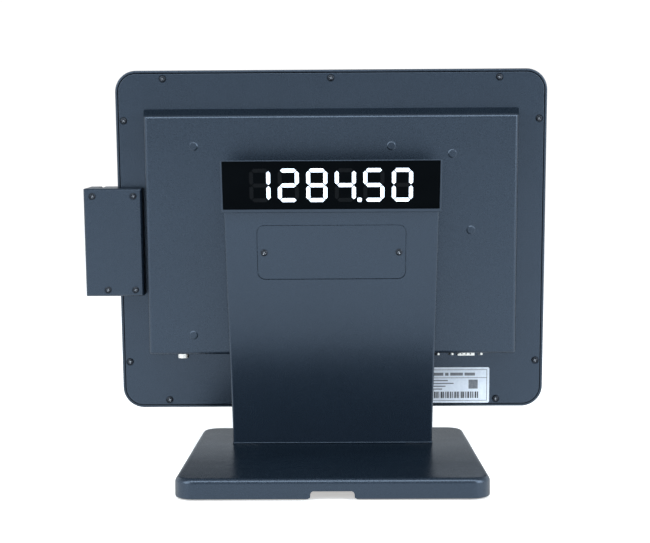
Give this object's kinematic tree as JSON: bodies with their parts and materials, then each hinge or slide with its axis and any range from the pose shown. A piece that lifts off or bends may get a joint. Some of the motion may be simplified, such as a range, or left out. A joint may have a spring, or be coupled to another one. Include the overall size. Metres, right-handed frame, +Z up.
{
  "type": "pos touchscreen terminal",
  "caption": "Countertop touchscreen sales terminal: tilting screen head with side card reader, on a leaning column with a customer display and a flat weighted base.",
  "frame": {"origin": "on the counter, under the centre of the base", "axes": "+Z up; -Y towards the operator, whom the touchscreen faces; +Y towards the customer; +X on the customer's left and the card reader's side"},
  "size_m": [0.3928, 0.22, 0.3345],
  "materials": {
    "coated_metal": "powder-coated dark slate blue, fine texture, satin",
    "moulded_plastic": "fine-textured moulded plastic, satin",
    "black_glass": "black glass, polished",
    "display_modules": "black-framed display module",
    "black_screws": "black zinc plating",
    "bare_steel": "zinc or nickel plating",
    "black_steel": "black-coated sheet",
    "black_plastic": "black moulded plastic",
    "fin_aluminium": "extruded, bare",
    "circuit_board": "green solder mask",
    "foot_rubber": "matt black",
    "label_film": "white printed film, satin"
  },
  "bodies": {
    "stand": {"base_ballast_plate": "bare_steel", "base_bottom_plate": "black_steel", "base_cover": "coated_metal", "column_foot_bracket": "bare_steel", "column_front_cover": "coated_metal", "column_shell": "coated_metal", "display_bracket": "bare_steel", "display_housing": "moulded_plastic", "display_panel": "display_modules", "display_window": "black_glass", "hinge_pin_left": "black_screws", "hinge_pin_right": "black_screws", "rubber_foot_1": "foot_rubber", "rubber_foot_2": "foot_rubber", "rubber_foot_3": "foot_rubber", "rubber_foot_4": "foot_rubber", "service_cover": "coated_metal", "service_screw_left": "black_screws", "service_screw_right": "black_screws", "stand_hinge_bracket": "bare_steel"},
    "head": {"audio_socket": "black_plastic", "card_reader_body": "moulded_plastic", "card_reader_lid": "coated_metal", "card_reader_rail": "moulded_plastic", "card_reader_screw_1": "black_screws", "card_reader_screw_2": "black_screws", "card_reader_screw_3": "black_screws", "card_reader_screw_4": "black_screws", "cash_drawer_socket": "black_plastic", "front_bezel": "moulded_plastic", "head_hinge_bracket": "bare_steel", "heat_sink": "fin_aluminium", "lcd_mounting_tray": "bare_steel", "lcd_panel": "display_modules", "magnetic_read_head": "bare_steel", "memory_module": "circuit_board", "motherboard": "circuit_board", "network_socket": "bare_steel", "power_socket": "bare_steel", "rating_label": "label_film", "rear_cover": "coated_metal", "rear_cover_screw_1": "black_screws", "rear_cover_screw_10": "black_screws", "rear_cover_screw_2": "black_screws", "rear_cover_screw_3": "black_screws", "rear_cover_screw_4": "black_screws", "rear_cover_screw_5": "black_screws", "rear_cover_screw_6": "black_screws", "rear_cover_screw_7": "black_screws", "rear_cover_screw_8": "black_screws", "rear_cover_screw_9": "black_screws", "serial_port_a": "bare_steel", "serial_port_b": "bare_steel", "socket_plate": "bare_steel", "solid_state_drive": "black_plastic", "touch_glass": "black_glass", "usb_socket_a": "bare_steel", "usb_socket_b": "bare_steel", "video_port": "bare_steel"},
    "power_button": {"power_button": "moulded_plastic"}
  },
  "joints": [
    {"name": "head_tilt", "type": "hinge", "parent": "stand", "child": "head", "pos_m": [0, -0.011, 0.184], "axis": [-1, 0, 0], "range_deg": [-5, 25]},
    {"name": "power_button_press", "type": "slide", "parent": "head", "child": "power_button", "axis": [0, 0.0872, 0.9962], "range_m": [0, 0.0009], "stiffness_N_per_m": 2000, "springref_m": -0.0005}
  ]
}
